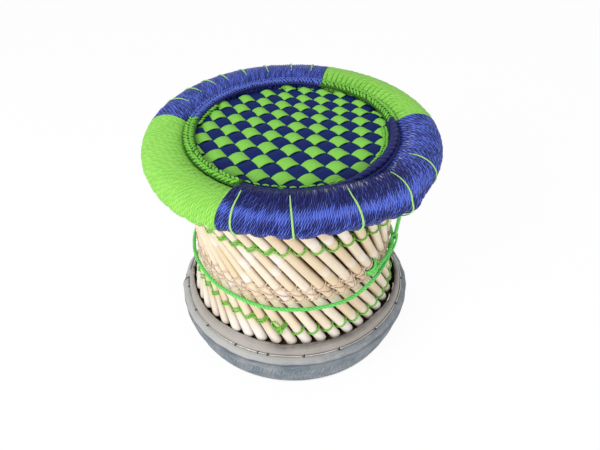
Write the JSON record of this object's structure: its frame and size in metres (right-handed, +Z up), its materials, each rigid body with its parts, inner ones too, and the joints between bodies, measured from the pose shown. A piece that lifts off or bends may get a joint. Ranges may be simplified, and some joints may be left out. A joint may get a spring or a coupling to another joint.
{
  "type": "mudda stool",
  "caption": "Round waisted stool of crossed reeds bound with twine, with a cord-wound ring rim, a checker-woven cord seat and a cut-tyre foot.",
  "frame": {"origin": "on the stool's upright axis, at floor level", "axes": "+Z up along the stool's axis, -Y towards the front as pictured, +X to the right seen from the front"},
  "size_m": [0.3996, 0.3994, 0.339],
  "materials": {
    "cord_green": "laid polypropylene cord, bright green, soft sheen",
    "cord_blue": "laid polypropylene cord, royal blue, soft sheen",
    "seat_cord": "fine cord strips in plain weave, navy and green",
    "reed": "peeled reed, satin, cream to straw",
    "inner_reed": "unpeeled reed and bound grass, matt brown",
    "grass": "bundled dry grass, matt",
    "twine": "natural two-ply twine, dry",
    "rope_green": "twisted polypropylene rope, light green, glossy",
    "tread_rubber": "worn tyre tread, blue-grey, dusty",
    "sidewall_rubber": "worn sidewall, warm grey, scuffed",
    "wire": "bright binding wire"
  },
  "bodies": {
    "root": {"base_ring_with_inner_reeds": "inner_reed", "lower_thread_lashing": "cord_green", "outer_reed_01": "reed", "outer_reed_02": "reed", "outer_reed_03": "reed", "outer_reed_04": "reed", "outer_reed_05": "reed", "outer_reed_06": "reed", "outer_reed_07": "reed", "outer_reed_08": "reed", "outer_reed_09": "reed", "outer_reed_10": "reed", "outer_reed_11": "reed", "outer_reed_12": "reed", "outer_reed_13": "reed", "outer_reed_14": "reed", "outer_reed_15": "reed", "outer_reed_16": "reed", "outer_reed_17": "reed", "outer_reed_18": "reed", "outer_reed_19": "reed", "outer_reed_20": "reed", "outer_reed_21": "reed", "outer_reed_22": "reed", "outer_reed_23": "reed", "outer_reed_24": "reed", "outer_reed_25": "reed", "outer_reed_26": "reed", "outer_reed_27": "reed", "outer_reed_28": "reed", "outer_reed_29": "reed", "outer_reed_30": "reed", "outer_reed_31": "reed", "outer_reed_32": "reed", "outer_reed_33": "reed", "outer_reed_34": "reed", "outer_reed_35": "reed", "outer_reed_36": "reed", "outer_reed_37": "reed", "outer_reed_38": "reed", "outer_reed_39": "reed", "outer_reed_40": "reed", "outer_reed_41": "reed", "outer_reed_42": "reed", "outer_reed_43": "reed", "outer_reed_44": "reed", "rim_core": "grass", "rim_wrap_blue_back": "cord_blue", "rim_wrap_blue_front": "cord_blue", "rim_wrap_green_back": "cord_green", "rim_wrap_green_left": "cord_green", "seat_weave": "seat_cord", "tyre_seam_wire": "wire", "tyre_sidewall_band": "sidewall_rubber", "tyre_tread": "tread_rubber", "upper_thread_lashing": "cord_green", "waist_rope": "rope_green", "waist_rope_tie": "rope_green", "waist_twine_lashing": "twine"}
  },
  "joints": []
}
